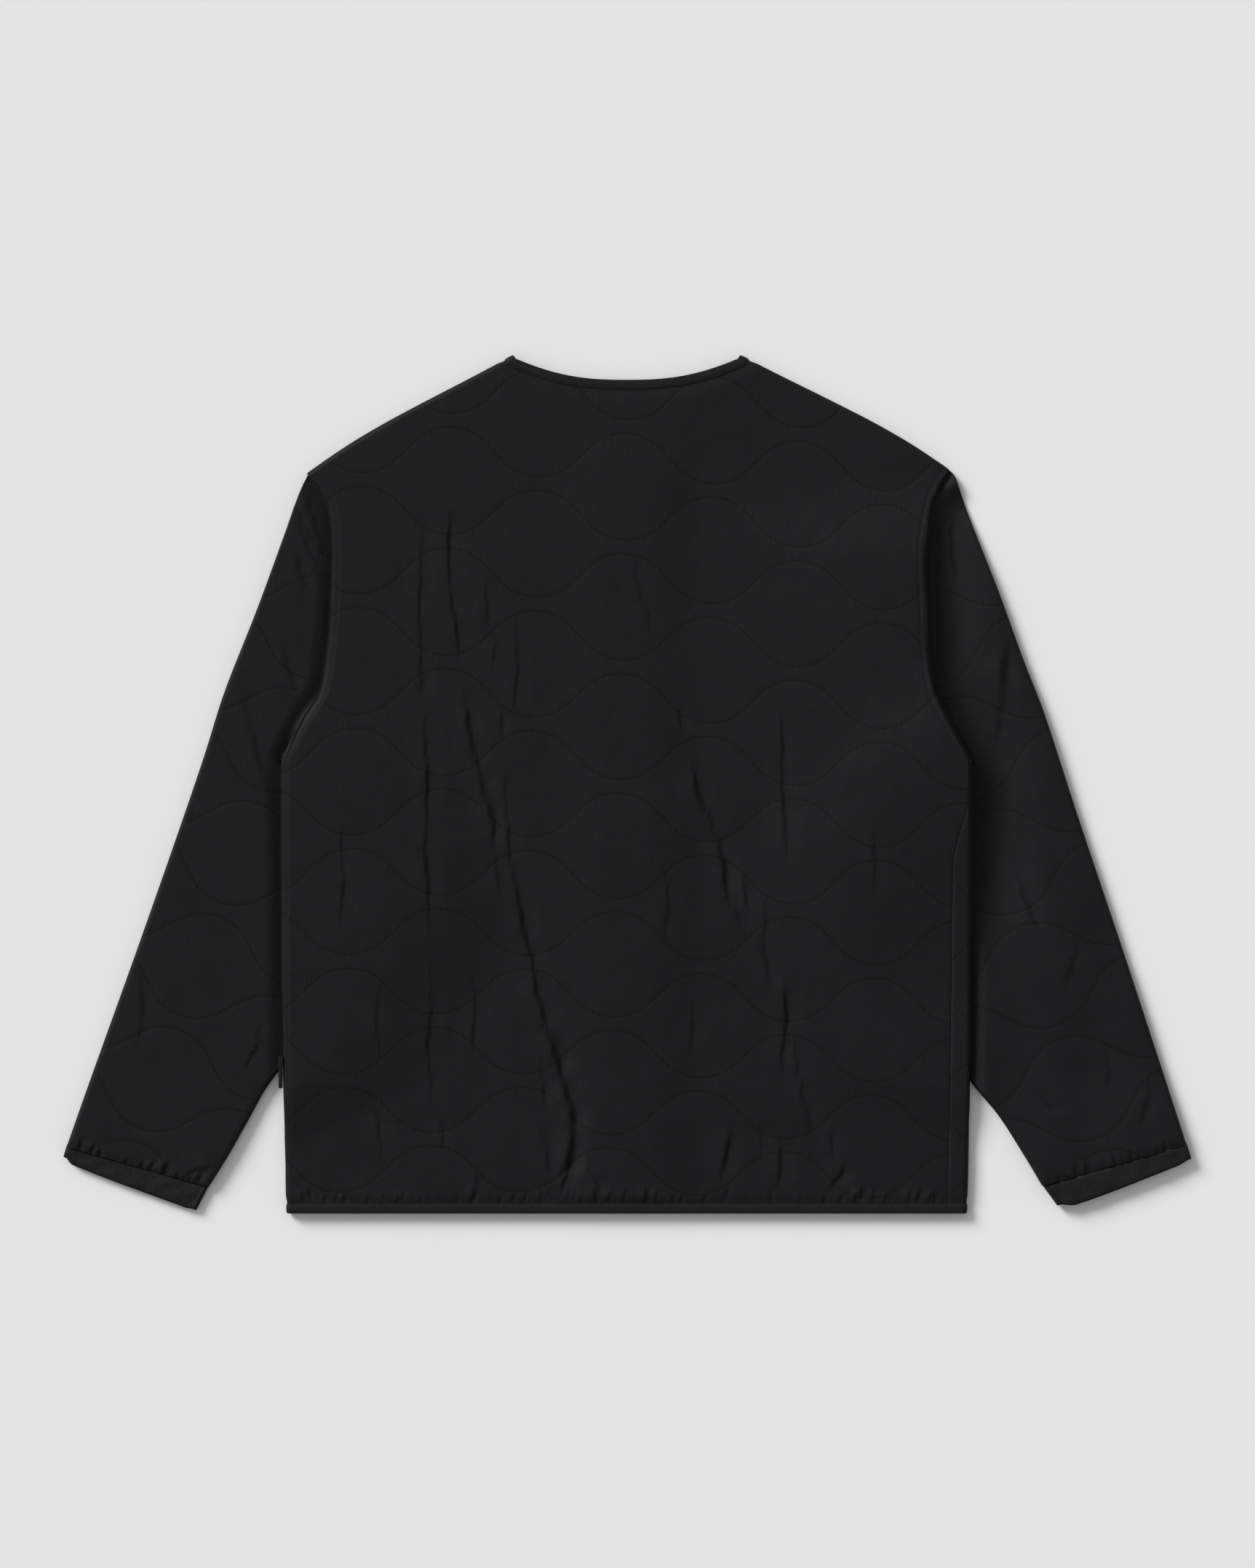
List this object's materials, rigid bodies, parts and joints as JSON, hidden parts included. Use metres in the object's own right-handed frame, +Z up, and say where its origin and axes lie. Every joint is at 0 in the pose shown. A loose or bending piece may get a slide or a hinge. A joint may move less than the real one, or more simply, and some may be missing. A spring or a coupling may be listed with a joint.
{
  "type": "quilted jacket",
  "caption": "Collarless quilted liner jacket laid flat with its back up, with long sleeves, bound neck, hem and cuffs, and a lapped snap front underneath.",
  "frame": {"origin": "on the floor, under the middle of the bounding box", "axes": "+X across the jacket towards the wearer's right arm, +Y from the hem towards the neck, +Z up from the floor through the fronts to the back"},
  "size_m": [0.9297, 0.7077, 0.0168],
  "materials": {
    "quilted_nylon": "matte woven nylon, quilted over wadding",
    "binding_tape": "matte woven tape",
    "cuff_tape": "matte woven tape",
    "tab_tape": "smooth woven tape",
    "snap_metal": "satin black"
  },
  "bodies": {
    "root": {"back": "quilted_nylon", "cuff_left": "cuff_tape", "cuff_right": "cuff_tape", "edge_binding": "binding_tape", "front_left": "quilted_nylon", "front_right": "quilted_nylon", "hem_binding": "binding_tape", "side_tab": "tab_tape", "sleeve_left": "quilted_nylon", "sleeve_right": "quilted_nylon", "snap_cap_1": "snap_metal", "snap_cap_2": "snap_metal", "snap_cap_3": "snap_metal", "snap_cap_4": "snap_metal", "snap_cap_5": "snap_metal", "snap_middle_1": "snap_metal", "snap_middle_2": "snap_metal", "snap_middle_3": "snap_metal", "snap_middle_4": "snap_metal", "snap_middle_5": "snap_metal", "snap_rivet_1": "snap_metal", "snap_rivet_2": "snap_metal", "snap_rivet_3": "snap_metal", "snap_rivet_4": "snap_metal", "snap_rivet_5": "snap_metal"}
  },
  "joints": []
}
